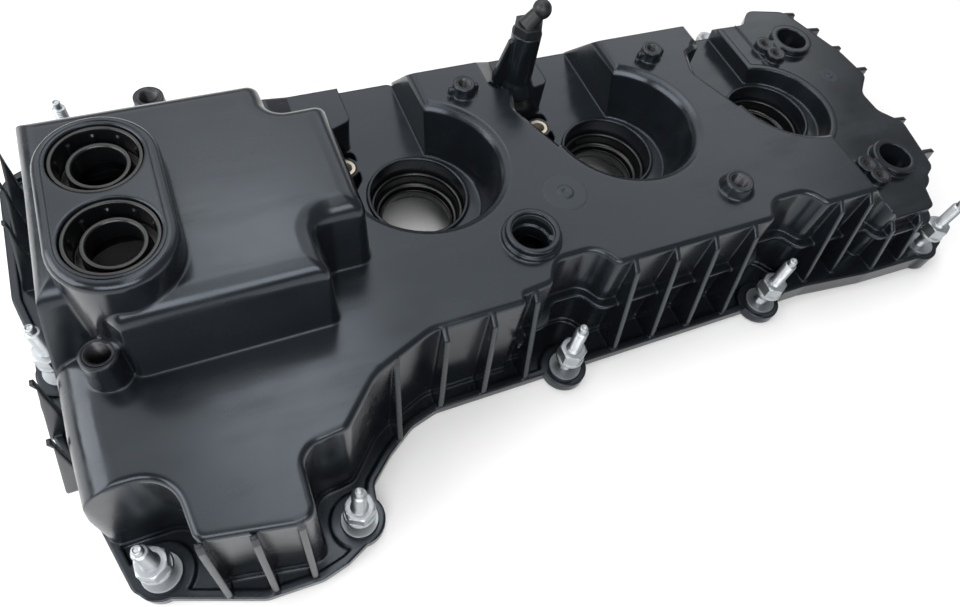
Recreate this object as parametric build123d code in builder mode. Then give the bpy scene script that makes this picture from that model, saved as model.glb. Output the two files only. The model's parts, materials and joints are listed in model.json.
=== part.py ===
from build123d import *
import os
from math import cos, radians, sin, tan

# Moulded valve cover for one bank of a V6, in millimetres.
# X runs along the row of plug wells, +Y is the back, +Z is up.
# The origin is under the middle of the cover, on the plane that the gasket rests on.

# Heights above the resting plane
gasket_proud = 1.0
flange_thickness = 5.0
deck_z = 63.0
housing_z = 99.0
pad_z = 112.0
channel_floor_z = 35.5
platform_z = 42.0
block_z = 55.0
ledge_z = 31.0
notch_floor_z = 13.0

# Walls of the moulding
wall = 3.0
rib_thickness = 2.4
ledge_depth = 4.5
ledge_thickness = 2.5

# Body outline
left_x = -232.0
right_x = 231.0
front_y = -59.6
lobe_y = -119.0
back_y = 98.0
end_flange_z = 11.0

# Plug wells
well_pitch = 106.0
well_first_x = -57.0
well_y = 20.5
well_count = 3
cone_floor_radius = 30.0
cone_top_radius = 37.0
well_bore_radius = 23.0
well_seat_radius = 19.0
well_bottom_z = 12.0
seal_rim_z = 28.0
seal_lip_z = 20.0
seal_lip_radius = 16.7
seal_land = 3.0

# Raised housing and its two solenoid ports
port_x = -181.2
port_spacing = 33.9
port_back_y = 8.2
port_radius = 15.5
pad_radius = 20.3
port_depth = 24.0
port_tube_wall = 2.5
port_seal_depth = 12.0
port_lip_radius = 8.6
port_lip_outer = 10.5
port_lip_z = 108.0

# Breather socket
breather_x = -27.5
breather_y = -35.5
breather_radius = 11.9
breather_bore = 9.6
breather_height = 5.0
breather_ledge_bore = 8.6
breather_depth = 10.0

# Bosses
accessory_boss_radius = 6.6
accessory_thread_radius = 4.0
coil_boss_radius = 5.2
coil_boss_height = 5.5
coil_thread_radius = 2.5
insert_wall = 1.0
insert_length = 10.0
coil_insert_length = 9.0

# Cam sensor pads
sensor_hole_radius = 9.0
sensor_pad_wall = 3.4
sensor_pad_height = 4.0
sensor_screw_offset_x = -19.0
sensor_screw_offset_y = -4.5
sensor_screw_spacing = 9.0
sensor_screw_radius = 2.2
sensor_x = 200.8
sensor_back_y = 65.7
sensor_front_y = -33.4

# Flange fasteners
bolt_radius = 3.0
sleeve_clearance = 0.1
sleeve_wall = 1.7
sleeve_flange_radius = 7.6
sleeve_flange_thickness = 1.2
grommet_wall = 2.3
bolt_lift = 9.0
hex_flange_radius = 6.6
hex_flange_thickness = 1.6
hex_radius = 5.6
hex_height = 6.5
stud_height = 27.0
stud_dog_radius = 1.9
stud_dog_length = 3.5
bolt_pad_radius = 10.5

# Ball stud tower
tower_x = 9.6
tower_y = 61.0
tower_radius = 7.3
tower_z = 88.0
ball_radius = 4.6
ball_tilt = 38.0
ball_reach = 8.7
ball_neck_radius = 3.4
ball_neck_foot_radius = 4.5
ball_collar_radius = 7.4
ball_collar_height = 4.5

# Gasket
gasket_width = 4.0
gasket_inset = 0.6
gasket_depth = 2.5
flange_lip = 4.5

# Oil separator under the deck
separator_left_x = -80.0
separator_right_x = 84.0
separator_front_y = -45.5
separator_back_y = -23.5
separator_z = 46.0
separator_plate = 2.5
separator_hole_radius = 3.0

# Places of the flange fasteners, in the order left to right along each side
stud_places = {
    "front_corner": (-203.5, -102.8),
    "front_lobe": (-128.0, -109.7),
    "front_middle": (-15.5, -74.5),
    "front_right": (101.7, -74.0),
    "right_corner": (213.5, -73.2),
    "left_end": (-227.0, -4.5),
    "back_corner": (-204.0, 116.5),
}
bolt_places = {
    "back_left": (-117.0, 98.0),
    "back_middle": (-29.0, 98.0),
    "back_right": (88.0, 98.0),
    "platform_back": (171.0, 101.0),
    "right_end": (232.5, 9.5),
}

# Slopes that round off the back, the right end and the left end of the body
far = 300.0
bevel_y = 73.5
bevel_end_x = 150.0
step_x = 152.0
step_foot_x = 176.0
end_lean = 25.0
deck_edge_radius = 2.5
channel_left = 37.5
channel_right = 12.5
channel_step = 21.5
last_channel_right = 3.0
last_channel_step = 34.0
flare_steps = [(3.6, 0.0, 30.0), (1.4, 1.3, 58.0)]
ridge_width = 3.5
ridge_height = 3.0
well_rim_width = 1.5
housing_front_y = -51.6
housing_back_y = 51.0
housing_draft = 4.0
housing_edge_radius = 8.0
pad_edge_radius = 3.0
pad_groove_radius = 17.0
end_edge_radius = 15.0
block_front = 31.0
block_left = 46.0
block_nose_radius = 7.0
flange_width = 15.4
inner_boss_radius = 6.8
inner_sleeve_radius = 5.0
inner_sleeve_bore = 3.3
sensor_insert_radius = 3.2
sensor_insert_length = 8.0
flange_pocket_depth = 2.5
flange_rim = 3.5
stud_shank_radius = 2.5
stud_shank_length = 12.0
front_rib_x = [-36.4, 12.5, 34.1, 55.5, 77.7, 130.0, 149.0]
front_left_rib_x = [-79.0, -58.0]
platform_rib_x = [173.5, 193.5]
lobe_ribs = [(-101.3, -71.5, 12.0), (-182.0, -115.0, 6.0), (-165.5, -118.5, 7.0), (-150.5, -118.5, 7.5)]
left_ribs = [(-230.0, 86.0), (-230.0, 65.0), (-230.0, 44.0), (-227.0, -33.0), (-224.0, -58.0)]
right_ribs = [
    (218.0, 90.8, 6.5, 12.5),
    (224.0, 74.1, 8.0, 14.0),
    (228.5, 55.8, 7.0, 12.5),
    (231.0, 35.0, 9.0, 11.5),
    (228.0, -7.7, 7.0, 14.5),
    (227.5, -33.4, 6.5, 15.0),
]
back_rib_x = [-160.0, -85.0, -60.0, 8.0, 36.0, 52.0, 130.0]

flange_z = gasket_proud + flange_thickness
thick_flange_lift = end_flange_z - flange_z
well_floor_z = well_bottom_z + 3
well_x = [well_first_x + well_pitch * i for i in range(well_count)]
port_y = [port_back_y, port_back_y - port_spacing]
sleeve_bore = bolt_radius + sleeve_clearance
sleeve_radius = sleeve_bore + sleeve_wall
grommet_radius = sleeve_radius + grommet_wall
sleeve_top_z = flange_z + sleeve_flange_thickness
hex_seat_z = sleeve_top_z + bolt_lift
accessory_bosses = [
    (port_x - 16.2, port_y[1] - 19.8, deck_z - 1, deck_z + 15, 1.0),
    (80.3, -37.6, deck_z - 1, deck_z + 5, 2.4),
    (-163.0, back_y - 6, channel_floor_z + 1, deck_z - 4, 2.0),
]
coil_bosses = [(well_x[0] + 34, well_y + 34.5), (well_x[1] + 36, well_y + 35)]
separator_middle_x = (separator_left_x + separator_right_x) / 2
separator_middle_y = (separator_front_y + separator_back_y) / 2
separator_length = separator_right_x - separator_left_x
separator_width = separator_back_y - separator_front_y
inner_fixings = [(x - 28, well_y + 27) for x in well_x]
thick_corner = (right_x - 55, stud_places["right_corner"][1] - 4)


def rounded_face(points):
    """Face inside a closed outline of (x, y, corner radius) points."""
    with BuildLine() as outline:
        FilletPolyline(*[(x, y) for x, y, r in points], radius=[r for x, y, r in points], close=True)
    make_face(outline.edges())


def scallop_up(place, wall_y, half_width, depth):
    """Bay in a wall that faces -Y, around a fastener, going towards +X."""
    x = place[0] + 3.5
    return [
        (x - half_width, wall_y, 4),
        (x - half_width + 6, wall_y + depth, 10),
        (x + half_width - 6, wall_y + depth, 10),
        (x + half_width, wall_y, 4),
    ]


def scallop_back(place, wall_y, half_width, depth):
    """Bay in a wall that faces +Y, around a fastener, going towards -X."""
    x = place[0]
    return [
        (x + half_width, wall_y, 4),
        (x + half_width - 6, wall_y - depth, 9),
        (x - half_width + 6, wall_y - depth, 9),
        (x - half_width, wall_y, 4),
    ]


def body_points():
    """Outline of the walls, counter-clockwise from the back left corner."""
    corner_x, corner_y = stud_places["front_corner"]
    lobe_x = stud_places["front_lobe"][0]
    end_x, end_y = stud_places["right_corner"]
    left_y = stud_places["left_end"][1]
    side_y = bolt_places["right_end"][1]
    platform_x = bolt_places["platform_back"][0]
    points = [
        (left_x, back_y, 14),
        (left_x, left_y + 22, 8),
        (left_x + 15, left_y + 15, 10),
        (left_x + 15, left_y - 9, 8),
        (left_x + 5, left_y - 15, 6),
        (left_x + 6, corner_y + 48, 20),
        (corner_x - 15, corner_y + 16, 6),
        (corner_x + 17.5, corner_y + 16, 14),
        (corner_x + 20.5, lobe_y + 6, 5),
        (lobe_x - 24, lobe_y, 6),
        (lobe_x - 16.5, lobe_y + 1, 4),
        (lobe_x - 16, lobe_y + 24.5, 8),
        (lobe_x + 2, lobe_y + 26.5, 5),
        (lobe_x + 18, front_y - 16, 20),
        (lobe_x + 44, front_y - 5.4, 15),
        (lobe_x + 85, front_y - 5.4, 1.5),
        (lobe_x + 86, front_y - 1.4, 1.5),
    ]
    points += scallop_up(stud_places["front_middle"], front_y, 16, 10.4)
    points += scallop_up(stud_places["front_right"], front_y, 16, 10.0)
    points += [
        (end_x - 48, front_y - 0.5, 3),
        (end_x - 45, end_y + 5.2, 3),
        (end_x - 11, end_y + 5.2, 5),
        (end_x - 5, end_y + 20.7, 8),
        (end_x + 9.5, end_y + 29, 8),
        (right_x - 1, side_y - 20, 6),
        (right_x - 10.5, side_y - 8, 8),
        (right_x - 10.5, side_y + 7, 8),
        (right_x + 2, side_y + 19, 6),
        (right_x, side_y + 41, 20),
        (right_x - 14, back_y - 5, 10),
        (platform_x + 21, back_y + 1.5, 8),
        (platform_x + 10.5, back_y - 10, 5),
        (platform_x - 25, back_y - 9, 6),
        (platform_x - 33, back_y, 5),
    ]
    points += scallop_back(bolt_places["back_right"], back_y, 16, 16)
    points += scallop_back(bolt_places["back_middle"], back_y, 16, 16)
    points += scallop_back(bolt_places["back_left"], back_y, 16, 16)
    return points


def end_wall(grow, top_z, edge_radius=0.0):
    """Ruled block whose slanted left side bounds the body and the housing."""
    corner_y = stud_places["front_corner"][1]
    share = top_z / housing_z
    profile = [
        (0, far, end_lean),
        (0, well_y - 5, end_lean),
        (6, corner_y + 43, end_lean - 8),
        (14, corner_y - 40, end_lean - 13),
        (14, -far, end_lean - 13),
    ]
    with BuildPart() as block:
        with BuildSketch(Plane.XY):
            with BuildLine() as foot:
                Polyline(
                    *[(left_x - grow + x, y) for x, y, lean in profile],
                    (far, -far),
                    (far, far),
                    close=True,
                )
            make_face(foot.edges())
        with BuildSketch(Plane.XY.offset(top_z)):
            with BuildLine() as top:
                Polyline(
                    *[(left_x - grow + x + lean * share, y) for x, y, lean in profile],
                    (far, -far), (far, far), close=True,
                )
            make_face(top.edges())
        loft(ruled=True)
        if edge_radius:
            rim = block.faces().sort_by(Axis.Z)[-1].edges()
            fillet([edge for edge in rim if edge.center().X < left_x + 60], edge_radius)
    return block.part


def body_form(inset):
    """Body up to the deck, drawn in by an inset to make its hollow."""
    bevel = Vector(channel_floor_z - deck_z, bevel_y - back_y).normalized() * inset
    slope = Vector(platform_z - deck_z, step_x - step_foot_x).normalized() * inset
    with BuildPart() as form:
        with BuildSketch(Plane.XY.offset(gasket_proud)):
            rounded_face(body_points())
            if inset:
                offset(amount=-inset, kind=Kind.INTERSECTION)
        extrude(amount=deck_z - inset - gasket_proud)
        if not inset:
            fillet(form.faces().sort_by(Axis.Z)[-1].outer_wire().edges(), deck_edge_radius)
        with BuildSketch(Plane.YZ.offset(-far)):
            with BuildLine() as back_line:
                Polyline(
                    (bevel_y + bevel.X, deck_z + bevel.Y),
                    (back_y + 0.5 + bevel.X, channel_floor_z + bevel.Y),
                    (far, channel_floor_z + bevel.Y),
                    (far, far),
                    (bevel_y + bevel.X, far),
                    close=True,
                )
            make_face(back_line.edges())
        extrude(amount=far + bevel_end_x, mode=Mode.SUBTRACT)
        with BuildSketch(Plane.XZ.offset(-far)):
            with BuildLine() as step_line:
                Polyline(
                    (step_x + slope.X, deck_z + slope.Y), (step_foot_x + slope.X, platform_z - inset),
                    (far, platform_z - inset), (far, far), (step_x + slope.X, far), close=True,
                )
            make_face(step_line.edges())
        extrude(amount=2 * far, mode=Mode.SUBTRACT)
        add(end_wall(-inset, deck_z - inset, end_edge_radius - inset), mode=Mode.INTERSECT)
    return form.part


def housing_form(inset):
    """Raised housing over the solenoid ports, with its bay at the front right."""
    right = well_first_x - channel_left
    with BuildPart() as form:
        with BuildSketch(Plane.XY.offset(deck_z - end_edge_radius)):
            rounded_face([
                (left_x - 20, port_y[1] - 10.5, 0),
                (port_x - 17.5, port_y[1] - 10.5, 4),
                (port_x - 8, housing_front_y, 6),
                (right - 20, housing_front_y, 5),
                (right - 20, housing_front_y + 23, 4),
                (right, housing_front_y + 23, 6),
                (right, housing_front_y + 85, 6),
                (right - 22, housing_front_y + 85, 4),
                (right - 23, housing_back_y, 6),
                (left_x - 20, housing_back_y, 6),
            ])
            if inset:
                offset(amount=-inset, kind=Kind.INTERSECTION)
        extrude(amount=housing_z - deck_z + end_edge_radius - inset, taper=housing_draft)
        add(end_wall(-inset, housing_z), mode=Mode.INTERSECT)
        if not inset:
            fillet(form.faces().sort_by(Axis.Z)[-1].outer_wire().edges(), housing_edge_radius)
    return form.part


def channel_form(index, grow):
    """Pocket of a plug well with its channel to the back; grow adds the wall around it."""
    x = well_x[index]
    left = channel_left if index == 0 else channel_left + 12
    right = last_channel_right if index == well_count - 1 else channel_right
    step = last_channel_step if index == well_count - 1 else channel_step
    cone_x = x - 0.5
    cone_y = well_y - 3
    height = deck_z - channel_floor_z
    spread = (cone_top_radius - cone_floor_radius) / height
    above = 3.0
    with BuildPart() as form:
        with Locations((cone_x, cone_y, channel_floor_z - grow)):
            Cone(
                cone_floor_radius + grow - spread * grow,
                cone_top_radius + grow + spread * above,
                height + grow + above,
                align=(Align.CENTER, Align.CENTER, Align.MIN),
            )
        outline = [
            (x + right, well_y + 100, 0),
            (x - step, well_y + 100, 0),
            (x - step, well_y + 38, 4),
            (x - left + 5, well_y + 34, 3),
            (x - left, well_y + 18, 4),
            (x - min(left, 39), well_y - 8, 0),
            (x, well_y - 8, 0),
            (x + right, well_y + 18, 0),
        ]
        with BuildSketch(Plane.XY.offset(channel_floor_z - grow)):
            rounded_face(outline)
            if grow:
                offset(amount=grow, kind=Kind.INTERSECTION)
        extrude(amount=height + grow + above)
        if not grow:
            for drop, out, slope in flare_steps:
                with Locations((cone_x, cone_y, deck_z - drop)):
                    Cone(
                        cone_top_radius - spread * drop + out,
                        cone_top_radius + out + 2 * drop * tan(radians(slope)),
                        2 * drop,
                        align=(Align.CENTER, Align.CENTER, Align.MIN),
                    )
                with BuildSketch(Plane.XY.offset(deck_z - drop)):
                    rounded_face(outline)
                    if out:
                        offset(amount=out, kind=Kind.INTERSECTION)
                extrude(amount=2 * drop, taper=-slope)
    return form.part


def notch_form(index, grow):
    """Deep part of the channel's left side, where the inner fixing boss stands."""
    x = well_x[index]
    left = channel_left if index == 0 else channel_left + 8
    with BuildPart() as form:
        with BuildSketch(Plane.XY.offset(notch_floor_z - grow)):
            rounded_face([
                (x - 21, well_y + 37.5, 4),
                (x - left, well_y + 35, 4),
                (x - left, well_y + 12, 4),
                (x - 28, well_y + 11, 4),
                (x - 22.5, well_y + 18, 4),
            ])
            if grow:
                offset(amount=grow, kind=Kind.INTERSECTION)
        extrude(amount=channel_floor_z - notch_floor_z + grow + 1)
    return form.part


def tube(x, y, z, radius, height, bore=0.0, top_radius=None):
    """Upright round boss, straight or tapered, with an optional bore, added where it stands."""
    with Locations((x, y, z)):
        if top_radius is None:
            Cylinder(radius, height, align=(Align.CENTER, Align.CENTER, Align.MIN))
        else:
            Cone(radius, top_radius, height, align=(Align.CENTER, Align.CENTER, Align.MIN))
        if bore:
            Cylinder(bore, height, align=(Align.CENTER, Align.CENTER, Align.MIN), mode=Mode.SUBTRACT)


def rib(x, y, direction, reach, top_z, top_reach=4.5, droop=4.0):
    """Upright gusset that leans from the wall top out to the flange edge."""
    plane = Plane(
        origin=(x, y, 0),
        x_dir=(cos(radians(direction)), sin(radians(direction)), 0),
        z_dir=(-sin(radians(direction)), cos(radians(direction)), 0),
    )
    side = -1 if plane.y_dir.Z < 0 else 1
    with BuildSketch(plane) as web:
        with BuildLine() as outline:
            Polyline(
                (-wall / 2, side * (flange_z - flange_pocket_depth)),
                (reach, side * (flange_z - flange_pocket_depth)),
                (reach, side * flange_z),
                (top_reach, side * (top_z - droop)),
                (0, side * top_z),
                (-wall / 2, side * top_z),
                close=True,
            )
        make_face(outline.edges())
    extrude(web.sketch, amount=rib_thickness / 2, both=True)


def block_form(index, grow):
    """Lower step of the deck beside a channel; grow adds the roof under it."""
    x = well_x[index]
    with BuildPart() as form:
        with BuildSketch(Plane.XZ.offset(-(well_y + block_front - grow))):
            with BuildLine() as section:
                Polyline(
                    (x - block_left - 16 - grow, deck_z + 3), (x - block_left - grow, block_z - grow),
                    (x - channel_step + 1, block_z - grow), (x - channel_step + 1, deck_z + 3), close=True,
                )
            make_face(section.edges())
        extrude(amount=-90)
        nose = form.faces().sort_by(Axis.Y)[0].edges().sort_by(Axis.X)[0]
        fillet(nose, block_nose_radius + grow)
    return form.part


def last_ridge():
    """Low ridge along the last channel and its well, where they open into the platform."""
    with BuildPart() as form:
        add(channel_form(well_count - 1, ridge_width))
        with Locations((well_x[-1] + 1, well_y - 35, platform_z - 1)):
            Box(60, 100, ridge_height + 1, align=(Align.MIN, Align.MIN, Align.MIN), mode=Mode.INTERSECT)
        add(channel_form(well_count - 1, 0), mode=Mode.SUBTRACT)
    return form.part


def flange_points():
    """Outer edge of the sealing flange, counter-clockwise from the back left corner."""
    corner_x, corner_y = stud_places["front_corner"]
    lobe_x, lobe_bolt_y = stud_places["front_lobe"]
    back_corner_x, back_corner_y = stud_places["back_corner"]
    end_x, end_y = stud_places["right_corner"]
    left_y = stud_places["left_end"][1]
    edge_y = front_y - flange_width
    return [
        (left_x - 11, back_corner_y - 7, 14),
        (left_x - 11, left_y + 42, 20),
        (left_x - 5, left_y + 16, 12),
        (left_x - 5, left_y - 14, 12),
        (left_x - 3, left_y - 26, 20),
        (left_x + 5, corner_y + 42, 12),
        (corner_x - 18, corner_y + 22, 12),
        (corner_x - 11, corner_y - 4, 6),
        (corner_x, corner_y - 10, 6),
        (lobe_x - 42, lobe_y - 7, 8),
        (lobe_x - 20, lobe_y - 8, 8),
        (lobe_x - 9, lobe_y - 5.5, 6),
        (lobe_x + 7, lobe_bolt_y - 7, 5),
        (lobe_x + 10, lobe_bolt_y + 12, 6),
        (lobe_x + 21, front_y - 28, 15),
        (lobe_x + 34, front_y - 19, 15),
        (lobe_x + 47, edge_y, 12),
        (end_x - 85, edge_y - 1, 8),
        (end_x - 45, end_y - 7, 8),
        (end_x + 4, end_y - 8.5, 8),
        (end_x + 15, end_y - 3, 6),
        (right_x + 6, end_y + 8, 6),
        (right_x + 12, end_y + 26, 10),
        (right_x + 12, back_y - 56, 24),
        (right_x + 7, back_y - 20, 18),
        (right_x - 6, back_y + 8, 12),
        (right_x - 28, back_y + 13, 8),
        (right_x - 46, back_y + 13, 6),
        (right_x - 60, back_y + 10.5, 6),
        (back_corner_x + 18, back_y + 10.5, 8),
        (back_corner_x + 9, back_corner_y + 7, 6),
        (back_corner_x - 12, back_corner_y + 6, 10),
    ]


def stadium(x, y_low, y_high, radius):
    """Slot-shaped face with its long axis along Y."""
    with Locations((x, (y_low + y_high) / 2)):
        SlotCenterToCenter(y_high - y_low, 2 * radius, rotation=90)


def sensor_points(sensor_y):
    """Centres of the two small screws beside a cam sensor hole."""
    x = sensor_x + sensor_screw_offset_x
    y = sensor_y + sensor_screw_offset_y
    return [(x - 1, y + sensor_screw_spacing / 2), (x + 1, y - sensor_screw_spacing / 2)]


def inset_face(amount):
    """Face of the body outline drawn in by an amount."""
    with BuildSketch() as face:
        rounded_face(body_points())
        offset(amount=-amount, kind=Kind.INTERSECTION)
    return face.sketch


lip_face = inset_face(wall + flange_lip)
groove_face = inset_face(gasket_inset) - inset_face(gasket_inset + gasket_width)

os.makedirs("parts", exist_ok=True)
outer = body_form(0)
hollow = body_form(wall)
wells = range(well_count)
places = list(stud_places.values()) + list(bolt_places.values())

with BuildPart() as liners:
    for i in wells:
        add(channel_form(i, wall))
        add(notch_form(i, wall))
    for i in wells[:-1]:
        add(block_form(i, wall))
    with Locations((well_x[-1] + last_channel_right, well_y + 18, platform_z)):
        Box(30, 55, wall, align=(Align.MIN, Align.MIN, Align.MAX))
    add(outer, mode=Mode.INTERSECT)

with BuildPart() as voids:
    for i in wells:
        add(channel_form(i, 0))
        add(notch_form(i, 0))
    for i in wells[:-1]:
        add(block_form(i, 0))
    with Locations((well_x[-1] + last_channel_right - 1, well_y + 18, platform_z)):
        Box(step_foot_x - well_x[-1] - last_channel_right, 100, far, align=(Align.MIN, Align.MIN, Align.MIN))

# Solenoid port pad, standing on the raised housing and reaching down to the deck in front
with BuildPart() as raised:
    add(housing_form(0))
    with BuildSketch(Plane.XY.offset(deck_z - wall)):
        stadium(port_x, port_y[1], port_y[0], pad_radius)
    extrude(amount=pad_z - deck_z + wall)
    fillet(raised.faces().sort_by(Axis.Z)[-1].outer_wire().edges(), pad_edge_radius)
    add(housing_form(wall), mode=Mode.SUBTRACT)
    with Locations((left_x + 32, 0, deck_z - wall)):
        Box(far, far, end_edge_radius, align=(Align.MIN, Align.CENTER, Align.MAX), mode=Mode.SUBTRACT)

# Sealing flange, thicker at the front right corner, open inside the walls
with BuildPart() as flange:
    with BuildSketch(Plane.XY.offset(gasket_proud)):
        rounded_face(flange_points())
        with Locations(*places):
            Circle(bolt_pad_radius)
        add(lip_face, mode=Mode.SUBTRACT)
    extrude(amount=flange_thickness)
    with BuildSketch(Plane.XY.offset(gasket_proud)):
        rounded_face(flange_points())
        with Locations(stud_places["right_corner"]):
            Circle(bolt_pad_radius)
        with Locations(thick_corner):
            Rectangle(124, 28, mode=Mode.INTERSECT)
    extrude(amount=end_flange_z - gasket_proud)
    with BuildSketch(Plane.XY.offset(flange_z)):
        rounded_face(flange_points())
        offset(amount=-flange_rim, kind=Kind.INTERSECTION)
        add(inset_face(-0.8), mode=Mode.SUBTRACT)
        with Locations(*places):
            Circle(bolt_pad_radius + 1.5, mode=Mode.SUBTRACT)
        with Locations(thick_corner):
            Rectangle(128, 32, mode=Mode.SUBTRACT)
    extrude(amount=-flange_pocket_depth, mode=Mode.SUBTRACT)

# Gussets between the walls and the flange, and the ledge along the front walls
with BuildPart() as gussets:
    for x in front_rib_x:
        rib(x, front_y, -90, flange_width - 0.5, deck_z - 1)
    for x in front_left_rib_x:
        rib(x, front_y - 5.4, -90, flange_width - 5.6, deck_z - 1)
    for x in platform_rib_x:
        rib(x, stud_places["right_corner"][1] + 5.2, -90, 12, platform_z - 1)
    for x, y, reach in lobe_ribs:
        rib(x, y, -90, reach, deck_z - 1, top_reach=1.5)
    for x, y in left_ribs:
        rib(x, y, 180, 8, 50, top_reach=-1)
    for x, y, tip, reach in right_ribs:
        rib(x, y, 0, reach, platform_z, top_reach=tip, droop=1.0)
    for x in back_rib_x:
        rib(x, back_y - 1, 90, 10, channel_floor_z, top_reach=3)
with BuildPart() as ledge:
    with BuildSketch(Plane.XY.offset(ledge_z)):
        rounded_face(body_points())
        offset(amount=ledge_depth, kind=Kind.INTERSECTION)
        with Locations((-43, front_y)):
            Rectangle(270, 40, align=(Align.MIN, Align.CENTER), mode=Mode.INTERSECT)
    extrude(amount=ledge_thickness)

# Breather socket, threaded bosses and cam sensor pads
with BuildPart() as bosses:
    tube(breather_x, breather_y, deck_z - 1, breather_radius, breather_height + 1)
    tube(breather_x, breather_y, deck_z - 1, breather_radius + 1.3, breather_height - 2)
    for x, y, foot, top, draft in accessory_bosses:
        tube(x, y, foot, accessory_boss_radius + draft, top - foot, top_radius=accessory_boss_radius)
    for x, y in coil_bosses:
        tube(x, y, deck_z - 1, coil_boss_radius + 0.8, coil_boss_height + 1, top_radius=coil_boss_radius)
        with Locations((x, y, deck_z - 1)):
            Box(2.9 * coil_boss_radius, rib_thickness, coil_boss_height - 1,
                align=(Align.CENTER, Align.CENTER, Align.MIN))
    for y in (sensor_back_y, sensor_front_y):
        with BuildSketch(Plane.XY.offset(platform_z - 1)):
            with Locations((sensor_x, y)):
                Circle(sensor_hole_radius + sensor_pad_wall)
            with Locations(*sensor_points(y)):
                Circle(sensor_screw_radius + sensor_pad_wall)
            with Locations((sensor_x + sensor_screw_offset_x / 2, y + sensor_screw_offset_y / 2)):
                Rectangle(10, 8)
        extrude(amount=sensor_pad_height + 1)

# Tubes below the walls, for the wells, ports, sensors and inserts, and the separator's frame
with BuildPart() as tubes:
    for x in well_x:
        tube(x, well_y, well_bottom_z, well_bore_radius + wall, channel_floor_z - well_bottom_z)
    for y in port_y:
        tube(port_x, y, pad_z - port_depth, port_radius + port_tube_wall, port_depth - 2)
    tube(breather_x, breather_y, deck_z - breather_depth, breather_radius, breather_depth - 1)
    for y in (sensor_back_y, sensor_front_y):
        tube(sensor_x, y, platform_z - 12, sensor_hole_radius + 2.4, 12)
        for x, screw_y in sensor_points(y):
            tube(x, screw_y, platform_z - 8, sensor_screw_radius + 2.6, 8)
    for x, y, foot, top, draft in accessory_bosses:
        tube(x, y, top - insert_length - wall, accessory_boss_radius, insert_length)
    for x, y in coil_bosses:
        foot = deck_z + coil_boss_height - coil_insert_length - wall
        tube(x, y, foot, coil_boss_radius, coil_insert_length)
    with BuildSketch(Plane.XY.offset(separator_z)):
        with Locations((separator_middle_x, separator_middle_y)):
            Rectangle(separator_length, separator_width)
            Rectangle(
                separator_length - 2 * rib_thickness,
                separator_width - 2 * rib_thickness,
                mode=Mode.SUBTRACT,
            )
    extrude(amount=deck_z - wall - separator_z + 1)

# Ball stud tower with its fin, and the inner fixing bosses in the notches
with BuildPart() as towers:
    tube(tower_x, tower_y, block_z - 2, tower_radius + 3, 8, top_radius=tower_radius)
    tube(tower_x, tower_y, block_z - 2, tower_radius, tower_z - block_z + 2)
    with BuildSketch(Plane.XZ.offset(-tower_y)):
        with BuildLine() as fin:
            Polyline(
                (tower_x, tower_z - 1),
                (tower_x - 8.5, tower_z - 4),
                (tower_x - 14, deck_z + 2),
                (tower_x - 14, deck_z - 2),
                (tower_x - 6, block_z - 1.5),
                (tower_x, block_z - 1.5),
                close=True,
            )
        make_face(fin.edges())
    extrude(amount=rib_thickness / 2, both=True)
    for x, y in inner_fixings:
        tube(x, y, gasket_proud, inner_boss_radius, channel_floor_z - gasket_proud)
    for x in well_x:
        tube(x, well_y, channel_floor_z - 1, well_bore_radius + well_rim_width, well_rim_width + 1)
    add(last_ridge())

with BuildPart() as bores:
    for x in well_x:
        tube(x, well_y, well_floor_z, well_bore_radius, channel_floor_z - well_bottom_z)
        tube(x, well_y, well_bottom_z - 1, well_seat_radius, channel_floor_z - well_bottom_z)
    for y in port_y:
        tube(port_x, y, pad_z - port_depth - 1, port_radius, port_depth + 2)
    with BuildSketch(Plane.XY.offset(pad_z)):
        stadium(port_x, port_y[1], port_y[0], pad_groove_radius)
        with Locations((port_x, (port_y[0] + port_y[1]) / 2)):
            SlotCenterToCenter(port_spacing, 2 * pad_groove_radius - 1, rotation=90, mode=Mode.SUBTRACT)
    extrude(amount=-0.5, mode=Mode.ADD)
    tube(breather_x, breather_y, deck_z - wall, breather_bore, breather_height + wall + 1)
    tube(breather_x, breather_y, deck_z - breather_depth - 1, breather_ledge_bore, breather_depth)
    for y in (sensor_back_y, sensor_front_y):
        tube(sensor_x, y, platform_z - 13, sensor_hole_radius, 20)
        for x, screw_y in sensor_points(y):
            tube(x, screw_y, platform_z + sensor_pad_height - sensor_insert_length, sensor_insert_radius, 20)
    for x, y, foot, top, draft in accessory_bosses:
        tube(x, y, top - insert_length, accessory_thread_radius + insert_wall, insert_length + 1)
    for x, y in coil_bosses:
        tube(x, y, deck_z + coil_boss_height - coil_insert_length, coil_thread_radius + insert_wall, 20)
    tube(tower_x, tower_y, tower_z - stud_shank_length, stud_shank_radius, stud_shank_length + 1)
    for x, y in inner_fixings:
        tube(x, y, 0, inner_sleeve_radius, channel_floor_z + 1)
    for x, y in places:
        tube(x, y, 0, grommet_radius, end_flange_z + 1)
    with BuildSketch(Plane.XY.offset(gasket_proud)):
        add(groove_face)
    extrude(amount=gasket_depth - gasket_proud)

# The cover itself, one moulding
with BuildPart() as cover_shell:
    add(outer)
    add(gussets.part)
    add(ledge.part)
    add(bosses.part)
    add(hollow, mode=Mode.SUBTRACT)
    add(housing_form(wall), mode=Mode.SUBTRACT)
    add(raised.part)
    add(flange.part)
    add(liners.part)
    add(tubes.part)
    add(voids.part, mode=Mode.SUBTRACT)
    add(towers.part)
    add(bores.part, mode=Mode.SUBTRACT)
cover_shell.part.label = "cover_shell"
export_step(cover_shell.part, "parts/cover_shell.step")

# Sealing ring in the groove under the flange
with BuildPart() as perimeter_gasket:
    with BuildSketch():
        add(groove_face)
    extrude(amount=gasket_depth)
perimeter_gasket.part.label = "perimeter_gasket"
export_step(perimeter_gasket.part, "parts/perimeter_gasket.step")

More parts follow.
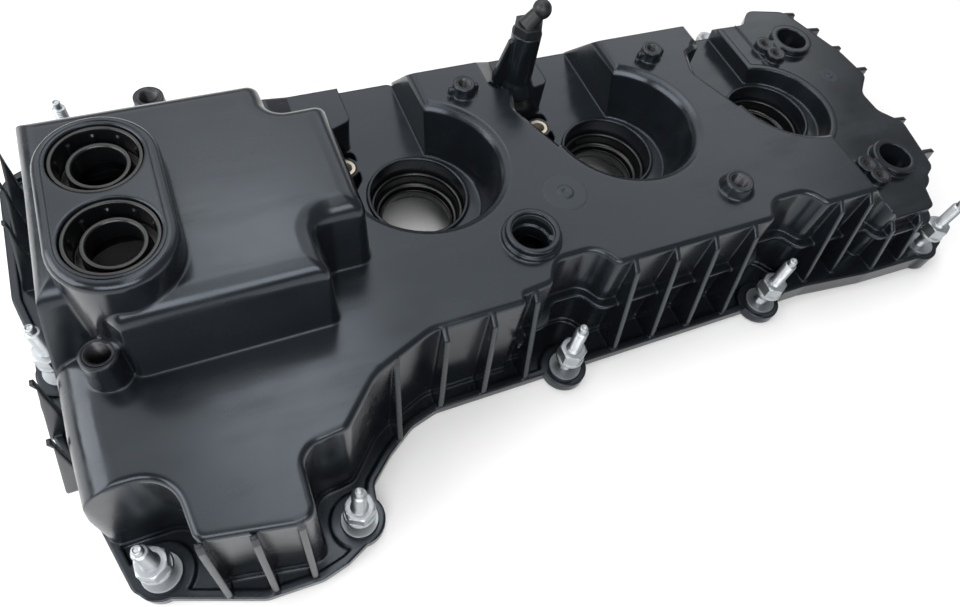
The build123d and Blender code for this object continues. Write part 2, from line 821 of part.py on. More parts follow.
# Baffle plate of the oil separator, on its frame under the deck
with BuildPart() as separator:
    with BuildSketch(Plane.XY.offset(separator_z - separator_plate)):
        with Locations((separator_middle_x, separator_middle_y)):
            RectangleRounded(separator_length, separator_width, 2)
            with GridLocations(separator_length / 6, 0, 5, 1):
                Circle(separator_hole_radius, mode=Mode.SUBTRACT)
    extrude(amount=separator_plate)
separator.part.label = "oil_separator_plate"
export_step(separator.part, "parts/oil_separator_plate.step")

# Plug well seals, pressed in from below against the seat
with BuildPart() as well_seal:
    with BuildSketch(Plane.XZ):
        with BuildLine():
            Polyline(
                (well_bore_radius, well_floor_z),
                (well_bore_radius, seal_rim_z),
                (well_bore_radius - 1.5, seal_rim_z),
                (well_bore_radius - 2.5, seal_lip_z + 2),
                (seal_lip_radius + 1, seal_lip_z),
                (seal_lip_radius, seal_lip_z - 0.5),
                (seal_lip_radius, seal_lip_z - 0.5 - seal_land),
                (well_seat_radius, well_floor_z),
                close=True,
            )
        make_face()
    revolve(axis=Axis.Z)
for i in wells:
    with BuildPart() as placed_seal:
        with Locations((well_x[i], well_y)):
            add(well_seal.part)
    placed_seal.part.label = f"plug_well_seal_{i + 1}"
    export_step(placed_seal.part, f"parts/plug_well_seal_{i + 1}.step")

# Solenoid port seals, an outer ring, a groove with tabs and a raised inner lip
with BuildPart() as port_seal:
    with BuildSketch(Plane.XZ):
        with BuildLine():
            Polyline(
                (port_radius, pad_z - port_seal_depth),
                (port_radius, pad_z - 1.2),
                (port_radius - 1.6, pad_z - 0.7),
                (port_radius - 1.8, pad_z - port_seal_depth + 2),
                (port_lip_outer, pad_z - port_seal_depth + 2),
                (port_lip_outer, port_lip_z - 0.6),
                (port_lip_outer - 0.6, port_lip_z),
                (port_lip_radius + 0.5, port_lip_z),
                (port_lip_radius, port_lip_z - 0.5),
                (port_lip_radius, pad_z - port_seal_depth),
                close=True,
            )
        make_face()
    revolve(axis=Axis.Z)
    with PolarLocations(port_radius - 2, 8):
        with Locations((0, 0, pad_z - port_seal_depth + 1)):
            Box(1.6, 2, port_seal_depth - 3, align=(Align.CENTER, Align.CENTER, Align.MIN))
for i, y in enumerate(port_y):
    with BuildPart() as placed_seal:
        with Locations((port_x, y)):
            add(port_seal.part)
    placed_seal.part.label = f"solenoid_port_seal_{i + 1}"
    export_step(placed_seal.part, f"parts/solenoid_port_seal_{i + 1}.step")

# Flange fasteners, loose in their sleeves and lifted by the grommets as on a cover not yet fitted
with BuildPart() as plain_bolt:
    tube(0, 0, 0, bolt_radius, hex_seat_z)
    tube(0, 0, hex_seat_z, hex_flange_radius, hex_flange_thickness)
    with BuildSketch(Plane.XY.offset(hex_seat_z + hex_flange_thickness)):
        RegularPolygon(hex_radius, 6, major_radius=False)
    extrude(amount=hex_height)
with BuildPart() as stud_bolt:
    add(plain_bolt.part)
    tube(0, 0, hex_seat_z, bolt_radius + 1.2, hex_flange_thickness + hex_height + 1)
    tube(0, 0, hex_seat_z, bolt_radius, stud_height - stud_dog_length)
    tube(0, 0, hex_seat_z, stud_dog_radius, stud_height)
for name, place in stud_places.items():
    with BuildPart() as placed_bolt:
        with Locations((place[0], place[1], thick_flange_lift if name == "right_corner" else 0)):
            add(stud_bolt.part)
    placed_bolt.part.label = f"stud_bolt_{name}"
    export_step(placed_bolt.part, f"parts/stud_bolt_{name}.step")
for name, place in bolt_places.items():
    with BuildPart() as placed_bolt:
        with Locations(place):
            add(plain_bolt.part)
    placed_bolt.part.label = f"flange_bolt_{name}"
    export_step(placed_bolt.part, f"parts/flange_bolt_{name}.step")

# Flanged sleeves that carry the fasteners, and the rubber grommets around them
with BuildPart() as bolt_sleeves:
    for x, y in places:
        top = end_flange_z if (x, y) == stud_places["right_corner"] else flange_z
        tube(x, y, gasket_proud, sleeve_radius, top - gasket_proud)
        tube(x, y, top, sleeve_flange_radius, sleeve_flange_thickness)
    with Locations(*places):
        Cylinder(sleeve_bore, 40, mode=Mode.SUBTRACT)
bolt_sleeves.part.label = "bolt_sleeves"
export_step(bolt_sleeves.part, "parts/bolt_sleeves.step")
with BuildPart() as bolt_grommets:
    for x, y in places:
        top = end_flange_z if (x, y) == stud_places["right_corner"] else flange_z
        tube(x, y, gasket_proud, grommet_radius, top - gasket_proud)
    with Locations(*places):
        Cylinder(sleeve_radius, 40, mode=Mode.SUBTRACT)
bolt_grommets.part.label = "bolt_grommets"
export_step(bolt_grommets.part, "parts/bolt_grommets.step")

# Metal sleeves of the inner fixings
with BuildPart() as inner_sleeves:
    for x, y in inner_fixings:
        tube(x, y, gasket_proud, inner_sleeve_radius, channel_floor_z - gasket_proud)
    with Locations(*inner_fixings):
        Cylinder(inner_sleeve_bore, 100, mode=Mode.SUBTRACT)
inner_sleeves.part.label = "inner_fixing_sleeves"
export_step(inner_sleeves.part, "parts/inner_fixing_sleeves.step")

# Threaded inserts
with BuildPart() as accessory_inserts:
    for x, y, foot, top, draft in accessory_bosses:
        tube(
            x,
            y,
            top - insert_length,
            accessory_thread_radius + insert_wall,
            insert_length,
            accessory_thread_radius,
        )
accessory_inserts.part.label = "accessory_inserts"
export_step(accessory_inserts.part, "parts/accessory_inserts.step")
with BuildPart() as coil_inserts:
    for x, y in coil_bosses:
        tube(x, y, deck_z + coil_boss_height - coil_insert_length, coil_thread_radius + insert_wall,
             coil_insert_length, coil_thread_radius)
coil_inserts.part.label = "coil_inserts"
export_step(coil_inserts.part, "parts/coil_inserts.step")
with BuildPart() as sensor_inserts:
    for y in (sensor_back_y, sensor_front_y):
        for x, screw_y in sensor_points(y):
            tube(x, screw_y, platform_z + sensor_pad_height - sensor_insert_length, sensor_insert_radius,
                 sensor_insert_length, sensor_screw_radius)
sensor_inserts.part.label = "sensor_inserts"
export_step(sensor_inserts.part, "parts/sensor_inserts.step")

# Ball stud screwed into the top of its tower, its neck leaning towards +X
neck = Plane(
    origin=(tower_x, tower_y, tower_z + ball_collar_height),
    z_dir=(sin(radians(ball_tilt)), 0, cos(radians(ball_tilt))),
)
with BuildPart() as ball_stud:
    tube(tower_x, tower_y, tower_z - stud_shank_length, stud_shank_radius, stud_shank_length)
    with BuildSketch(Plane.XY.offset(tower_z)):
        with Locations((tower_x, tower_y)):
            RegularPolygon(ball_collar_radius, 6)
    extrude(amount=ball_collar_height)
    with BuildSketch(neck.offset(-2)):
        Circle(ball_neck_foot_radius)
    with BuildSketch(neck.offset(ball_reach)):
        Circle(ball_neck_radius)
    loft()
    with Locations(neck.offset(ball_reach)):
        Sphere(ball_radius)
ball_stud.part.label = "ball_stud"
export_step(ball_stud.part, "parts/ball_stud.step")
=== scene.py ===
import json
from math import pi, radians

import bpy
import numpy as np
from bpy.props import FloatProperty, FloatVectorProperty, IntProperty, PointerProperty, StringProperty
from mathutils import Euler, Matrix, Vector


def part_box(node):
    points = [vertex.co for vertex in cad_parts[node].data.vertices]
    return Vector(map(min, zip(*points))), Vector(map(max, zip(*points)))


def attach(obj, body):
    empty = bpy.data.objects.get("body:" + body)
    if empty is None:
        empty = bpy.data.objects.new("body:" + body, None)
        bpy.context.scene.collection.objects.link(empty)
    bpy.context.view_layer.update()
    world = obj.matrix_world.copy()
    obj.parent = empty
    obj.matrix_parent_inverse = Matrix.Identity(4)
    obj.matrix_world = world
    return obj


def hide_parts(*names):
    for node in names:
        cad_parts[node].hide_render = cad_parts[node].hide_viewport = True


bl_info = {
    "name": "Engine valve cover",
    "version": (1, 0, 0),
    "blender": (4, 5, 0),
    "location": "View3D > Sidebar > Valve Cover",
    "description": "Finishes, fasteners, seals and studio of a moulded engine valve cover",
    "category": "Object",
}

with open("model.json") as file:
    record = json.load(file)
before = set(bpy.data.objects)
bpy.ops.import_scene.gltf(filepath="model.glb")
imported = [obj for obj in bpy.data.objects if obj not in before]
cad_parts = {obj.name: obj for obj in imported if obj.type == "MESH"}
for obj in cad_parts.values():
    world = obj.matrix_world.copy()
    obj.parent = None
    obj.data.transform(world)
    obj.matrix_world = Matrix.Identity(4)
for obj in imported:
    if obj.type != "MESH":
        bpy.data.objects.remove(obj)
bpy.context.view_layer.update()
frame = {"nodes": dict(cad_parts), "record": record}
MM = 0.001
SHARP_FROM = radians(38)
NYLON_IOR = 1.55
NYLON_SHEEN = "#DDE8F4"

STUDS = [name for name in frame["nodes"] if name.startswith("stud_bolt_")]
BOLTS = [name for name in frame["nodes"] if name.startswith("flange_bolt_")]
SEALS = [name for name in frame["nodes"] if name.startswith("plug_well_seal_")]
PORTS = [name for name in frame["nodes"] if name.startswith("solenoid_port_seal_")]


# Sizes and colours that a user would change

def hex_colour(label, text, value):
    """Property that holds an sRGB colour in hex."""
    return StringProperty(name=label, description=f"{text}, sRGB hex", default=value)


def length(label, text, value):
    """Property that holds a length in metres."""
    return FloatProperty(name=label, description=text, default=value, min=0, unit="LENGTH")


def power(label, text, value):
    """Property that holds the power of a light in watts."""
    return FloatProperty(name=label, description=f"Power of the {text}", default=value, min=0, unit="POWER")


class FinishSettings(bpy.types.PropertyGroup):
    """Colours and grain of the finishes."""
    nylon: hex_colour("Nylon", "Black glass-filled nylon", "#0C0E11")
    nylon_pale: hex_colour("Nylon, pale", "Glass-rich skin of the nylon", "#171A1E")
    nylon_roughness: FloatProperty(
        name="Nylon roughness", description="Roughness of the moulded skin", default=0.21, min=0, max=1)
    edge_radius: length("Edge radius", "Rounding that moulded edges show", 1.8 * MM)
    rubber: hex_colour("Rubber", "Black seal rubber", "#090A0B")
    zinc: hex_colour("Zinc", "Clear zinc plating", "#B9BDC0")
    sleeve: hex_colour("Inner sleeve", "Pale plated steel of the inner sleeves", "#D8CFC0")
    insert: hex_colour("Insert", "Blackened steel of the threaded inserts", "#343436")
    black_steel: hex_colour("Black steel", "Black coated steel of the ball stud", "#1A1B1D")


class FastenerSettings(bpy.types.PropertyGroup):
    """Sizes of the flange studs and bolts, in metres."""
    thread_radius: length("Thread radius", "Outer radius of the thread", 3.0 * MM)
    thread_depth: length("Thread depth", "Depth of the thread", 0.5 * MM)
    pitch: length("Pitch", "Pitch of the thread", 1.0 * MM)
    across_flats: length("Across flats", "Width of the hexagon", 11.2 * MM)
    steps_around: IntProperty(name="Steps around", description="Faces around a fastener", default=96, min=12)


class StageSettings(bpy.types.PropertyGroup):
    """Camera, floor and lights."""
    camera_place: FloatVectorProperty(
        name="Camera place", description="Where the photograph was taken from", subtype="TRANSLATION",
        default=(-0.150228, -0.186915, 0.305840))
    camera_turn: FloatVectorProperty(
        name="Camera turn", description="Turn of the camera", subtype="EULER",
        default=(radians(31.7783), radians(-7.6464), radians(-22.6700)))
    lens: FloatProperty(name="Lens", description="Focal length for a 36 mm frame", default=26.98, min=1)
    floor: hex_colour("Floor", "Pale floor", "#F2F2F1")
    key_power: power("Key power", "large soft light above", 14.5)
    strip_power: power("Strip power", "long light overhead", 4.0)
    side_power: power("Side power", "soft light on the left", 10.0)
    fill_power: power("Fill power", "soft light in front", 10.0)
    sky: FloatProperty(name="Sky", description="Strength of the even light all round", default=0.3, min=0)


# Helpers

def linear(colour):
    """Linear RGBA of an sRGB hex colour."""
    value = np.array([int(colour[i:i + 2], 16) for i in (1, 3, 5)]) / 255
    value = np.where(value <= 0.04045, value / 12.92, ((value + 0.055) / 1.055) ** 2.4)
    return (*value.tolist(), 1.0)


def node(tree, kind, links=None, inputs=None, **settings):
    """Adds a node with its settings, its unlinked inputs and its links from (node, output) pairs."""
    made = tree.nodes.new(kind)
    for key, value in settings.items():
        setattr(made, key, value)
    for key, value in (inputs or {}).items():
        made.inputs[key].default_value = value
    for key, (source, output) in (links or {}).items():
        tree.links.new(source.outputs[output], made.inputs[key])
    return made


def new_material(name, base, roughness, pale, metallic=0.0, ior=1.5, grain=0.5 * MM, relief=0.02 * MM,
                 patch=35 * MM, edge=0.0, tint="#FFFFFF", smear=0.0):
    """Procedural material: two colours mixed in patches, roughness that varies with them and with faint
    smears, fine relief and rounded edges."""
    spread = 0.06
    made = bpy.data.materials.new(name)
    made.use_nodes = True
    tree = made.node_tree
    tree.nodes.clear()
    place = node(tree, "ShaderNodeTexCoord")
    patches = node(tree, "ShaderNodeTexNoise", {"Vector": (place, "Object")},
                   {"Scale": 1 / patch, "Detail": 4.0, "Roughness": 0.55})
    colour = node(tree, "ShaderNodeMix", {"Factor": (patches, "Fac")}, data_type="RGBA")
    colour.inputs["A"].default_value = linear(base)
    colour.inputs["B"].default_value = linear(pale)
    rough = node(tree, "ShaderNodeMapRange", {"Value": (patches, "Fac")},
                 {"From Min": 0.3, "From Max": 0.7,
                  "To Min": roughness - spread, "To Max": roughness + spread})
    wiped = node(tree, "ShaderNodeMapping", {"Vector": (place, "Object")},
                 {"Scale": (1 / (90 * MM), 1 / (14 * MM), 1 / (40 * MM)), "Rotation": (0, 0, radians(25))})
    streaks = node(tree, "ShaderNodeTexNoise", {"Vector": (wiped, "Vector")},
                   {"Scale": 1.0, "Detail": 6.0, "Roughness": 0.65})
    smears = node(tree, "ShaderNodeMapRange", {"Value": (streaks, "Fac")},
                  {"From Min": 0.45, "From Max": 0.75, "To Min": 0.0, "To Max": smear})
    total = node(tree, "ShaderNodeMath", {0: (rough, "Result"), 1: (smears, "Result")}, operation="ADD")
    fine = node(tree, "ShaderNodeTexNoise", {"Vector": (place, "Object")},
                {"Scale": 1 / grain, "Detail": 2.0})
    bump = node(tree, "ShaderNodeBump", {"Height": (fine, "Fac")}, {"Strength": 1.0, "Distance": relief})
    if edge:
        bevel = node(tree, "ShaderNodeBevel", None, {"Radius": edge}, samples=8)
        tree.links.new(bevel.outputs["Normal"], bump.inputs["Normal"])
    shader = node(tree, "ShaderNodeBsdfPrincipled",
                  {"Base Color": (colour, "Result"), "Roughness": (total, "Value"),
                   "Normal": (bump, "Normal")},
                  {"Metallic": metallic, "IOR": ior, "Specular Tint": linear(tint)})
    node(tree, "ShaderNodeOutputMaterial", {"Surface": (shader, "BSDF")})
    return made


def dress(obj, material):
    """Gives an object one material in all its slots."""
    obj.data.materials.clear()
    obj.data.materials.append(material)


def rounded(points, cut):
    """Profile with its corners cut off, each side keeping the part between its shares cut and 1 - cut."""
    line = np.array(points, float)
    start, end = line[:-1], line[1:]
    pair = np.stack([start + (end - start) * cut, end - (end - start) * cut], 1).reshape(-1, 2)
    return np.vstack([line[:1], pair[1:-1], line[-1:]])


def ring_surface(name, rings, closed):
    """Mesh of a grid of rings, (rings, around, 3); closed joins the last ring to the first, else both ends
    get a pole."""
    count, around = rings.shape[:2]
    i = np.arange(count if closed else count - 1)[:, None]
    j = np.arange(around)[None, :]
    k = (j + 1) % around
    after = (i + 1) % count
    quads = np.stack([i * around + j, i * around + k, after * around + k, after * around + j], -1)
    points = rings.reshape(-1, 3)
    faces = quads.reshape(-1, 4).tolist()
    if not closed:
        points = np.vstack([points, rings[0].mean(0), rings[-1].mean(0)])
        low, high = count * around, count * around + 1
        j = np.arange(around)
        k = (j + 1) % around
        faces += np.stack([k, j, np.full(around, low)], -1).tolist()
        last = (count - 1) * around
        faces += np.stack([last + j, last + k, np.full(around, high)], -1).tolist()
    mesh = bpy.data.meshes.new(name)
    mesh.from_pydata(points.tolist(), [], faces)
    mesh.shade_smooth()
    mesh.set_sharp_from_angle(angle=SHARP_FROM)
    made = bpy.data.objects.new(name, mesh)
    bpy.context.scene.collection.objects.link(made)
    return made


def triangle_wave(height, pitch, angle):
    """Thread: a wave of the height less the turn, 1 at its ends and 0 in its middle, one wave a pitch."""
    return np.abs(((height / pitch - angle / (2 * pi)) % 1) * 2 - 1)


def turned(centre, profile, around, ripple=None):
    """Rings of a profile of (radius, height) carried round an upright axis; ripple(angle, radius, height)
    gives the radius."""
    angle = np.linspace(0, 2 * pi, around, endpoint=False)[None, :]
    radius = np.broadcast_to(profile[:, :1], (len(profile), around))
    height = np.broadcast_to(profile[:, 1:], (len(profile), around))
    if ripple:
        radius = ripple(angle, radius, height)
    x = centre[0] + radius * np.cos(angle)
    y = centre[1] + radius * np.sin(angle)
    return np.stack([x, y, centre[2] + height], -1)


def threads(start):
    """Stated threaded holes whose names begin with a word: each hole's foot, its radius and length in mm."""
    found = []
    for mount in frame["record"]["mounts"]:
        if mount["kind"] == "threaded_hole" and mount["name"].startswith(start):
            x, y, z = mount["pos_m"]
            sizes = mount["dims"]
            foot = np.array([x, y, z - sizes["length_mm"] * MM / 2])
            found.append((foot, sizes["r_mm"], sizes["length_mm"]))
    return found


def middle(name):
    """Centre of a CAD node's box in plan, and its lowest height."""
    low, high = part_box(name)
    return np.array([(low.x + high.x) / 2, (low.y + high.y) / 2, low.z])


def put(obj, body, slot, material, *replaced):
    """Lets a finished piece ride on a body, take the given material and stand for CAD nodes; the slot is not
    used.
    """
    dress(obj, material)
    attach(obj, body)
    if replaced:
        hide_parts(*replaced)


# Pieces

class COVER_OT_finish(bpy.types.Operator):
    """Gives the CAD pieces of the cover their finishes"""
    bl_idname = "valve_cover.finish"
    bl_label = "Finish the moulding"

    def execute(self, context):
        look = context.scene.cover_finish
        # Polyamide 66 with glass fibre, injection moulded: satin black with a grey sheen, soft moulded edges
        nylon = new_material("moulded_glass_filled_nylon", look.nylon, look.nylon_roughness,
                             look.nylon_pale, ior=NYLON_IOR, grain=0.9 * MM, relief=0.01 * MM,
                             edge=look.edge_radius, tint=NYLON_SHEEN, smear=0.12)
        dress(frame["nodes"]["cover_shell"], nylon)
        dress(frame["nodes"]["oil_separator_plate"], nylon)
        # Acrylic seal rubber, moulded: black with a low gloss and a faint bloom
        rubber = new_material("moulded_seal_rubber", look.rubber, 0.27, "#0F1012", relief=0.01 * MM,
                              edge=0.4 * MM)
        for name in ("perimeter_gasket", "bolt_grommets"):
            dress(frame["nodes"][name], rubber)
        # Carbon steel, turned and zinc plated: silvery with a slight haze
        zinc = new_material("zinc_plated_steel", look.zinc, 0.42, "#A4A8AC", metallic=1.0,
                            patch=4 * MM, grain=0.25 * MM, relief=0.006 * MM, edge=0.3 * MM)
        dress(frame["nodes"]["bolt_sleeves"], zinc)
        # Turned steel sleeve with a pale passivated plating: dull cream
        sleeve = new_material("pale_plated_steel", look.sleeve, 0.45, "#C4BAA8", metallic=0.7,
                              patch=3 * MM, grain=0.25 * MM, relief=0.006 * MM, edge=0.3 * MM)
        dress(frame["nodes"]["inner_fixing_sleeves"], sleeve)
        # Phosphate coated steel: near black, dull
        black = new_material("black_coated_steel", look.black_steel, 0.42, "#26282B", metallic=0.3,
                             patch=6 * MM, grain=0.4 * MM, relief=0.01 * MM, edge=0.5 * MM)
        dress(frame["nodes"]["ball_stud"], black)
        return {"FINISHED"}


class COVER_OT_fasteners(bpy.types.Operator):
    """Turns the flange studs and bolts with their hexagons and threads"""
    bl_idname = "valve_cover.fasteners"
    bl_label = "Flange studs and bolts"

    def execute(self, context):
        sizes = context.scene.cover_fasteners
        zinc = bpy.data.materials["zinc_plated_steel"]
        flat = sizes.across_flats / 2
        thread = sizes.thread_radius / MM
        # Heights in mm above the lower end: the hexagon's flange, the hexagon, both threads
        seat, hex_foot, hex_top = 16.2, 17.805, 24.301
        lower_thread, upper_thread = (1.2, 11.0), (25.3, 39.6)
        for name in STUDS + BOLTS:
            place = middle(name)
            lines = [
                [(2.2, 0.0), (thread, 1.0)],
                [(thread, z) for z in np.arange(1.0, 16.0, 0.25)],
                [(3.0, seat), (6.5, seat), (6.6, 16.4), (6.6, 17.2), (6.25, 17.8)],
                [(6.6, 17.81), (6.6, 18.4), (6.6, 23.2), (6.55, 23.5), (6.2, 23.9), (5.7, 24.2), (5.2, 24.3)],
            ]
            if name in STUDS:
                lines += [
                    [(3.5, 24.3), (3.4, 24.8), (3.1, 25.0)],
                    [(3.0, z) for z in np.arange(25.2, 39.5, 0.125)],
                    [(2.3, 39.75), (1.9, 39.9), (1.9, 42.7), (1.6, 43.1), (1.3, 43.2),
                     (1.05, 42.6), (0.3, 42.4)],
                ]
            else:
                lines += [[(3.4, 24.3), (3.0, 24.0), (0.4, 24.0)]]
            profile = np.array([p for line in lines for p in line]) * MM

            def ripple(angle, radius, height):
                """Hexagon above the flange, where the radius is the apothem over the cosine of the turn from
                the flat's middle; thread where both threads are, a triangle wave of the height less the turn;
                and the profile's own radius elsewhere."""
                turn = (angle + pi / 6) % (pi / 3) - pi / 6
                hexagon = np.minimum(flat / np.cos(turn), radius)
                in_hex = (height > hex_foot * MM) & (height < hex_top * MM) & (radius > 5.0 * MM)
                upper = (height > upper_thread[0] * MM) & (height < upper_thread[1] * MM)
                lower = (height > lower_thread[0] * MM) & (height < lower_thread[1] * MM)
                cut = radius - sizes.thread_depth * triangle_wave(height, sizes.pitch, angle)
                return np.where(in_hex, hexagon, np.where(upper | lower, cut, radius))

            rings = turned(place, profile, sizes.steps_around, ripple)
            made = ring_surface("threaded_" + name, rings, False)
            put(made, name, "zinc_steel", zinc, name)
        return {"FINISHED"}


class COVER_OT_inserts(bpy.types.Operator):
    """Cuts the threads of the inserts in the accessory, coil and sensor bosses"""
    bl_idname = "valve_cover.inserts"
    bl_label = "Threaded inserts"

    def execute(self, context):
        look = context.scene.cover_finish
        # Free-cutting steel insert, blackened: dark with dull glints on the thread
        steel = new_material("blackened_steel_insert", look.insert, 0.35, "#4A4A4D", metallic=0.8,
                             patch=2 * MM, grain=0.2 * MM, relief=0.006 * MM)
        # First word of the threaded holes' names, and pitch in mm
        groups = {"accessory_inserts": ("accessory", 1.25), "coil_inserts": ("coil", 0.8),
                  "sensor_inserts": ("cam_sensor", 0.7)}
        wall, depth, groove = 1.0, 0.6, 0.35
        for group, (start, pitch) in groups.items():
            for index, (place, bore, height) in enumerate(threads(start)):
                outside = bore + wall
                inside = bore + groove
                downwards = [(inside, z) for z in np.arange(height - 0.4, 0.3, -0.125)]
                profile = [(inside, 0.0), (outside, 0.0), (outside, height), (bore + 0.6, height)] + downwards

                def ripple(angle, radius, height_up):
                    """Inner wall with a triangle wave of the height less the turn."""
                    cut = radius - depth * MM * triangle_wave(height_up, pitch * MM, angle)
                    return np.where(np.abs(radius - inside * MM) < 1e-7, cut, radius)

                rings = turned(place, np.array(profile) * MM, 64, ripple)
                made = ring_surface(f"threaded_{group}_{index + 1}", rings, True)
                if index:
                    put(made, "cover", "insert_steel", steel)
                else:
                    put(made, "cover", "insert_steel", steel, group)
        return {"FINISHED"}


class COVER_OT_seals(bpy.types.Operator):
    """Makes the plug well seals and the solenoid port seals"""
    bl_idname = "valve_cover.seals"
    bl_label = "Round seals"

    def execute(self, context):
        rubber = bpy.data.materials["moulded_seal_rubber"]
        # Radius and height in mm, the heights of the well seal above its own foot at 15 mm
        foot = 15.0
        well = [(19.0, 15.0), (23.0, 15.0), (23.0, 27.2), (22.4, 28.0), (21.2, 28.0), (20.6, 27.2),
                (20.4, 22.4), (19.6, 21.4), (18.8, 21.4), (18.4, 20.6), (18.3, 19.0), (17.6, 18.6),
                (17.4, 20.0), (16.9, 20.0), (16.7, 19.4), (16.7, 16.2), (18.2, 15.4)]
        for name in SEALS:
            profile = rounded(np.array(well + well[:1]) - (0, foot), 0.2)[:-1] * MM
            made = ring_surface("moulded_" + name, turned(middle(name), profile, 128), True)
            put(made, "cover", "seal_rubber", rubber, name)
        port = [(8.9, 0.0), (15.4, 0.0), (15.4, 3.0), (15.05, 3.4), (15.05, 11.0), (14.8, 11.3),
                (13.9, 11.3), (13.6, 11.0), (13.6, 2.0), (10.6, 2.0), (10.5, 7.4), (10.2, 8.0), (9.1, 8.0),
                (8.6, 7.4), (8.6, 0.4)]
        for name in PORTS:
            profile = rounded(np.array(port + port[:1]), 0.12)[:-1] * MM

            def ripple(angle, radius, height):
                """Ten small tabs stand 0.7 mm out of the outer ring's inner wall, between 4.4 and 8.6 mm up."""
                around = np.abs((angle * 10 / (2 * pi)) % 1 - 0.5) < 0.12
                tab = around & (height > 4.4 * MM) & (height < 8.6 * MM)
                wall = (radius > 13.0 * MM) & (radius < 13.8 * MM)
                return np.where(tab & wall, radius - 0.7 * MM, radius)

            steps = np.linspace(0, 1, 9)[:-1, None]
            after = np.roll(profile, -1, axis=0)
            dense = np.vstack([low + (high - low) * steps for low, high in zip(profile, after)])
            made = ring_surface("moulded_" + name, turned(middle(name), dense, 160, ripple), True)
            put(made, "cover", "seal_rubber", rubber, name)
        return {"FINISHED"}


class COVER_OT_marks(bpy.types.Operator):
    """Adds the moulding's gate marks and the breather socket's retaining ring"""
    bl_idname = "valve_cover.marks"
    bl_label = "Moulding marks"

    def execute(self, context):
        look = context.scene.cover_finish
        # The same nylon, rubbed matt where the gate was cut
        rubbed = new_material("rubbed_glass_filled_nylon", look.nylon_pale, 0.5, "#2A2E32", ior=NYLON_IOR,
                              patch=3 * MM, grain=0.6 * MM, relief=0.03 * MM, tint=NYLON_SHEEN)
        # Centres in mm on the deck and on the sensor platform, with each mark's share of the full size
        marks = [((-1.7, -16.7, 63.0), 1.0), ((209.1, 34.5, 42.0), 0.55)]
        mark = [(10.4, -0.2), (10.4, 0.06), (10.1, 0.12), (4.6, 0.12), (4.2, 0.1), (3.6, 0.5), (3.2, 0.7),
                (1.6, 0.7), (1.3, 0.35), (0.4, 0.3)]
        for index, (place, share) in enumerate(marks):
            profile = rounded(mark, 0.2) * (share, 1) * MM
            rings = turned(np.array(place) * MM, profile, 96)
            made = ring_surface(f"gate_mark_{index + 1}", rings, False)
            put(made, "cover", "nylon", rubbed)
        mount = next(m for m in frame["record"]["mounts"] if m["name"] == "breather_socket")
        x, y, z = mount["pos_m"]
        bore = mount["dims"]["r_mm"]
        loop = np.array([(bore + 0.2, 0), (bore + 0.2, 2.7), (bore - 0.5, 2.4), (bore - 0.5, 0.3)]) * MM

        def ripple(angle, radius, height):
            """One tab 2 mm deep and 18 degrees wide on the inner face, towards the front right."""
            tab = np.abs((angle + radians(35) + pi) % (2 * pi) - pi) < radians(9)
            return np.where(tab & (radius < bore * MM), radius - 2.0 * MM, radius)

        collar = ring_surface("breather_retaining_ring", turned((x, y, z), loop, 240, ripple), True)
        put(collar, "cover", "nylon", rubbed)
        return {"FINISHED"}


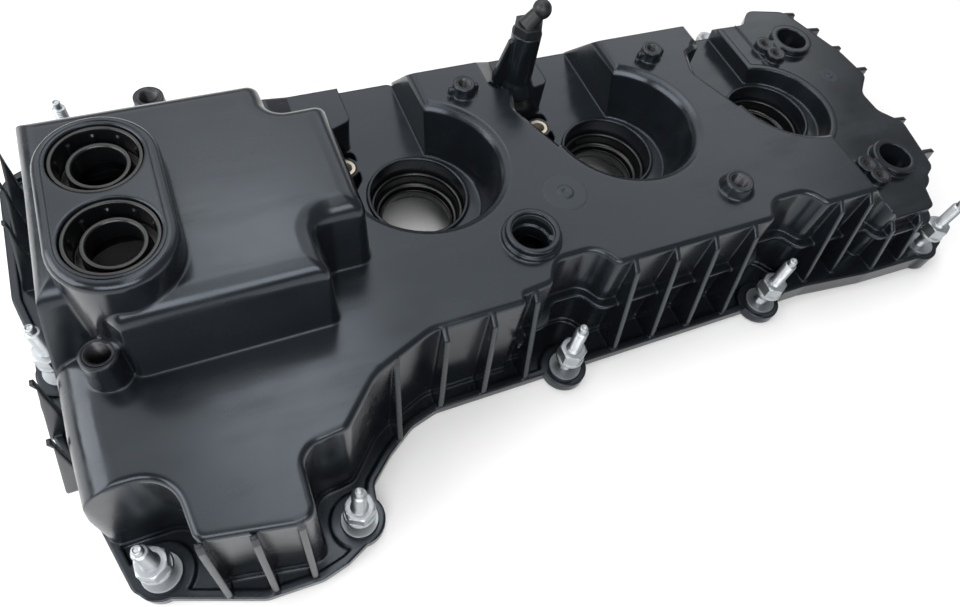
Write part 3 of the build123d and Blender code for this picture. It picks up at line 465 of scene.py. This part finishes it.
class COVER_OT_stage(bpy.types.Operator):
    """Lays the pale floor and sets the lights and the camera"""
    bl_idname = "valve_cover.stage"
    bl_label = "Studio"

    def execute(self, context):
        stage = context.scene.cover_stage
        scene = context.scene
        scene.view_settings.view_transform = "Standard"
        half = 4.0
        corners = [(-half, -half, 0), (half, -half, 0), (half, half, 0), (-half, half, 0)]
        mesh = bpy.data.meshes.new("floor")
        mesh.from_pydata(corners, [], [(0, 1, 2, 3)])
        floor = bpy.data.objects.new("floor", mesh)
        scene.collection.objects.link(floor)
        paint = bpy.data.materials.new("matt_white_paper")
        paint.use_nodes = True
        tree = paint.node_tree
        tree.nodes.clear()
        place = node(tree, "ShaderNodeTexCoord")
        fibre = node(tree, "ShaderNodeTexNoise", {"Vector": (place, "Object")}, {"Scale": 400.0})
        bump = node(tree, "ShaderNodeBump", {"Height": (fibre, "Fac")}, {"Distance": 0.02 * MM})
        paper = node(tree, "ShaderNodeBsdfPrincipled", {"Normal": (bump, "Normal")},
                     {"Base Color": linear(stage.floor), "Roughness": 0.9})
        node(tree, "ShaderNodeOutputMaterial", {"Surface": (paper, "BSDF")})
        dress(floor, paint)

        world = bpy.data.worlds.new("studio")
        scene.world = world
        world.use_nodes = True
        tree = world.node_tree
        tree.nodes.clear()
        path = node(tree, "ShaderNodeLightPath")
        seen = node(tree, "ShaderNodeMath",
                    {0: (path, "Is Camera Ray"), 1: (path, "Is Transmission Ray")},
                    operation="ADD", use_clamp=True)
        lit = node(tree, "ShaderNodeBackground", None,
                   {"Color": linear("#F4F6F8"), "Strength": stage.sky})
        white = node(tree, "ShaderNodeBackground", None, {"Color": (1, 1, 1, 1), "Strength": 1.0})
        both = node(tree, "ShaderNodeMixShader",
                    {0: (seen, "Value"), 1: (lit, "Background"), 2: (white, "Background")})
        node(tree, "ShaderNodeOutputWorld", {"Surface": (both, "Shader")})

        # Place, size and power of each light, and the point that it is aimed at, in metres
        lights = {
            "key": ((0.15, 0.8, 1.0), (2.6, 1.4), stage.key_power, (0.15, 0.02, 0.05)),
            "strip": ((-0.1, 0.0, 1.0), (1.6, 0.3), stage.strip_power, (-0.05, 0, 0.05)),
            "side": ((-1.0, 0.1, 0.55), (1.0, 0.7), stage.side_power, (-0.1, 0, 0.05)),
            "fill": ((-0.35, -0.95, 0.75), (1.2, 0.5), stage.fill_power, (0, -0.05, 0.03)),
        }
        for name, (spot, area, power, aim) in lights.items():
            lamp = bpy.data.lights.new(name, "AREA")
            lamp.shape = "RECTANGLE"
            lamp.size, lamp.size_y = area
            lamp.energy = power
            lamp_object = bpy.data.objects.new(name, lamp)
            lamp_object.location = spot
            lamp_object.rotation_euler = (Vector(aim) - Vector(spot)).to_track_quat("-Z", "Y").to_euler()
            scene.collection.objects.link(lamp_object)

        camera = bpy.data.cameras.new("camera")
        camera.lens = stage.lens
        camera.sensor_width = 36.0
        camera.clip_start, camera.clip_end = 0.01, 20.0
        camera_object = bpy.data.objects.new("camera", camera)
        camera_object.location = stage.camera_place
        camera_object.rotation_euler = Euler(stage.camera_turn)
        scene.collection.objects.link(camera_object)
        scene.camera = camera_object
        return {"FINISHED"}


class COVER_PT_panel(bpy.types.Panel):
    """Lists the steps that dress the valve cover"""
    bl_idname = "COVER_PT_panel"
    bl_label = "Valve Cover"
    bl_space_type = "VIEW_3D"
    bl_region_type = "UI"
    bl_category = "Valve Cover"

    def draw(self, context):
        for group in ("cover_finish", "cover_fasteners", "cover_stage"):
            settings = getattr(context.scene, group)
            for name in settings.bl_rna.properties.keys():
                if name not in ("rna_type", "name"):
                    self.layout.prop(settings, name)
        for step in STEPS:
            self.layout.operator(step.bl_idname)


GROUPS = {"cover_finish": FinishSettings, "cover_fasteners": FastenerSettings, "cover_stage": StageSettings}
STEPS = (COVER_OT_finish, COVER_OT_fasteners, COVER_OT_inserts, COVER_OT_seals, COVER_OT_marks,
         COVER_OT_stage)


def register():
    for group in GROUPS.values():
        bpy.utils.register_class(group)
    for name, group in GROUPS.items():
        setattr(bpy.types.Scene, name, PointerProperty(type=group))
    for step in STEPS + (COVER_PT_panel,):
        bpy.utils.register_class(step)


def unregister():
    for step in (COVER_PT_panel,) + STEPS[::-1]:
        bpy.utils.unregister_class(step)
    for name, group in GROUPS.items():
        delattr(bpy.types.Scene, name)
        bpy.utils.unregister_class(group)


def main():
    """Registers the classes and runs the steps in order."""
    register()
    for step in STEPS:
        area, action = step.bl_idname.split(".")
        getattr(getattr(bpy.ops, area), action)()


if __name__ == "__main__":
    main()
